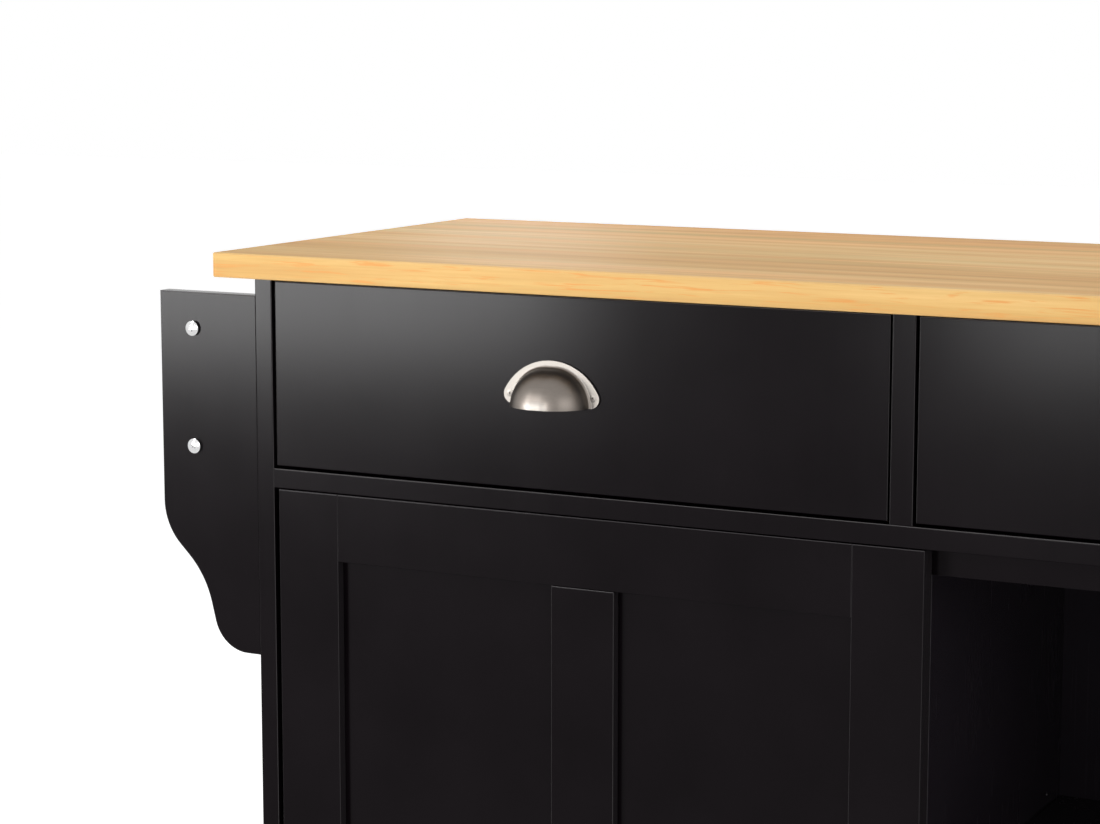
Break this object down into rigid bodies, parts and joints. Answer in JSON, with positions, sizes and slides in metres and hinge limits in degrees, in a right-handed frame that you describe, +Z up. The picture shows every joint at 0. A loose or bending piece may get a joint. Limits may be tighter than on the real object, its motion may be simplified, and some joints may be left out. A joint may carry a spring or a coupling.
{
  "type": "rolling kitchen island",
  "caption": "Rolling kitchen island: wood worktop with a rear drop leaf, drawers on slides, a sliding door, shelves, a towel rack, a spice rack and swivel casters with brakes.",
  "frame": {"origin": "on the floor under the middle of the object's bounding box, with everything closed", "axes": "+X along the worktop to the right seen from the front, -Y towards the front with the drawers and the door, +Z up"},
  "size_m": [1.463, 0.5132, 0.93],
  "materials": {
    "top_wood": "satin oiled staves",
    "black_lacquer": "satin black lacquer on board",
    "drawer_wood": "clear matt",
    "satin_nickel": "satin nickel",
    "zinc_steel": "bright zinc",
    "chrome_screws": "polished",
    "track_aluminium": "black anodised",
    "black_plastic": "matt",
    "white_nylon": "smooth",
    "caster_paint": "black zinc",
    "caster_rubber": "matt"
  },
  "bodies": {
    "cabinet": {"worktop": "top_wood", "side_panel_left": "black_lacquer", "side_panel_right": "black_lacquer", "back_panel": "black_lacquer", "bottom_panel": "black_lacquer", "deck_panel": "black_lacquer", "drawer_divider": "black_lacquer", "centre_partition": "black_lacquer", "top_stretchers": "black_lacquer", "shelf_left": "black_lacquer", "shelf_right": "black_lacquer", "shelf_supports": "zinc_steel", "door_track": "track_aluminium", "door_floor_guide": "black_plastic", "towel_brackets": "black_lacquer", "spice_brackets": "black_lacquer", "spice_shelf": "black_lacquer", "rack_rods": "satin_nickel", "rack_screws": "chrome_screws", "drawer_slide_outers": "zinc_steel", "hinge_plates_fixed": "zinc_steel", "strut_brackets": "zinc_steel", "caster_plates": "zinc_steel"},
    "drawer_left": {"drawer_left_front": "black_lacquer", "drawer_left_sides": "drawer_wood", "drawer_left_back": "drawer_wood", "drawer_left_bottom": "drawer_wood", "drawer_left_pull": "satin_nickel", "drawer_left_slide_inners": "zinc_steel"},
    "drawer_left_middles": {"drawer_left_slide_middles": "zinc_steel"},
    "drawer_right": {"drawer_right_front": "black_lacquer", "drawer_right_sides": "drawer_wood", "drawer_right_back": "drawer_wood", "drawer_right_bottom": "drawer_wood", "drawer_right_pull": "satin_nickel", "drawer_right_slide_inners": "zinc_steel"},
    "drawer_right_middles": {"drawer_right_slide_middles": "zinc_steel"},
    "door": {"door_stiles": "black_lacquer", "door_rails": "black_lacquer", "door_slat": "black_lacquer", "door_panel": "black_lacquer", "door_knob": "satin_nickel", "door_hangers": "zinc_steel"},
    "door_wheels_left": {"door_wheels_left": "white_nylon"},
    "door_wheels_right": {"door_wheels_right": "white_nylon"},
    "leaf": {"drop_leaf": "top_wood", "hinge_plates_moving": "zinc_steel", "strut_channels": "zinc_steel"},
    "struts": {"struts": "zinc_steel"},
    "fork_front_left": {"caster_fork_front_left": "caster_paint"},
    "wheel_front_left": {"caster_wheel_front_left": "caster_rubber"},
    "pedal_front_left": {"brake_pedal_front_left": "black_plastic"},
    "fork_front_right": {"caster_fork_front_right": "caster_paint"},
    "wheel_front_right": {"caster_wheel_front_right": "caster_rubber"},
    "pedal_front_right": {"brake_pedal_front_right": "black_plastic"},
    "fork_rear_left": {"caster_fork_rear_left": "caster_paint"},
    "wheel_rear_left": {"caster_wheel_rear_left": "caster_rubber"},
    "fork_rear_right": {"caster_fork_rear_right": "caster_paint"},
    "wheel_rear_right": {"caster_wheel_rear_right": "caster_rubber"}
  },
  "joints": [
    {"name": "drawer_left_slide", "type": "slide", "parent": "cabinet", "child": "drawer_left", "axis": [0, -1, 0], "range_m": [0, 0.33]},
    {"name": "drawer_left_middles_slide", "type": "slide", "parent": "cabinet", "child": "drawer_left_middles", "axis": [0, -1, 0], "range_m": [0, 0.165]},
    {"name": "drawer_right_slide", "type": "slide", "parent": "cabinet", "child": "drawer_right", "axis": [0, -1, 0], "range_m": [0, 0.33]},
    {"name": "drawer_right_middles_slide", "type": "slide", "parent": "cabinet", "child": "drawer_right_middles", "axis": [0, -1, 0], "range_m": [0, 0.165]},
    {"name": "door_slide", "type": "slide", "parent": "cabinet", "child": "door", "axis": [1, 0, 0], "range_m": [0, 0.582]},
    {"name": "door_wheels_left_roll", "type": "hinge", "parent": "door", "child": "door_wheels_left", "pos_m": [-0.521, -0.1923, 0.70035], "axis": [0, 1, 0], "range_deg": [0, 4765]},
    {"name": "door_wheels_right_roll", "type": "hinge", "parent": "door", "child": "door_wheels_right", "pos_m": [-0.061, -0.1923, 0.70035], "axis": [0, 1, 0], "range_deg": [0, 4765]},
    {"name": "leaf_hinge", "type": "hinge", "parent": "cabinet", "child": "leaf", "pos_m": [0, 0.2306, 0.904], "axis": [1, 0, 0], "range_deg": [0, 90]},
    {"name": "struts_swing", "type": "hinge", "parent": "cabinet", "child": "struts", "pos_m": [0, 0.227, 0.812], "axis": [1, 0, 0], "range_deg": [0, 117.78]},
    {"name": "swivel_front_left", "type": "hinge", "parent": "cabinet", "child": "fork_front_left", "pos_m": [-0.586, -0.1853, 0.06], "axis": [0, 0, 1], "continuous": true},
    {"name": "roll_front_left", "type": "hinge", "parent": "fork_front_left", "child": "wheel_front_left", "pos_m": [-0.57, -0.1853, 0.025], "axis": [0, 1, 0], "continuous": true},
    {"name": "brake_front_left", "type": "hinge", "parent": "fork_front_left", "child": "pedal_front_left", "pos_m": [-0.552, -0.1853, 0.051], "axis": [0, 1, 0], "range_deg": [0, 14]},
    {"name": "swivel_front_right", "type": "hinge", "parent": "cabinet", "child": "fork_front_right", "pos_m": [0.586, -0.1853, 0.06], "axis": [0, 0, 1], "continuous": true},
    {"name": "roll_front_right", "type": "hinge", "parent": "fork_front_right", "child": "wheel_front_right", "pos_m": [0.602, -0.1853, 0.025], "axis": [0, 1, 0], "continuous": true},
    {"name": "brake_front_right", "type": "hinge", "parent": "fork_front_right", "child": "pedal_front_right", "pos_m": [0.62, -0.1853, 0.051], "axis": [0, 1, 0], "range_deg": [0, 14]},
    {"name": "swivel_rear_left", "type": "hinge", "parent": "cabinet", "child": "fork_rear_left", "pos_m": [-0.586, 0.1647, 0.06], "axis": [0, 0, 1], "continuous": true},
    {"name": "roll_rear_left", "type": "hinge", "parent": "fork_rear_left", "child": "wheel_rear_left", "pos_m": [-0.57, 0.1647, 0.025], "axis": [0, 1, 0], "continuous": true},
    {"name": "swivel_rear_right", "type": "hinge", "parent": "cabinet", "child": "fork_rear_right", "pos_m": [0.586, 0.1647, 0.06], "axis": [0, 0, 1], "continuous": true},
    {"name": "roll_rear_right", "type": "hinge", "parent": "fork_rear_right", "child": "wheel_rear_right", "pos_m": [0.602, 0.1647, 0.025], "axis": [0, 1, 0], "continuous": true}
  ],
  "couplings": [
    {"joint": "drawer_left_middles_slide", "follows": "drawer_left_slide", "ratio": 0.5},
    {"joint": "drawer_right_middles_slide", "follows": "drawer_right_slide", "ratio": 0.5},
    {"joint": "door_wheels_left_roll", "follows": "door_slide", "rad_per_m": 142.86},
    {"joint": "door_wheels_right_roll", "follows": "door_slide", "rad_per_m": 142.86},
    {"joint": "struts_swing", "follows": "leaf_hinge", "ratio": 1.3081}
  ]
}
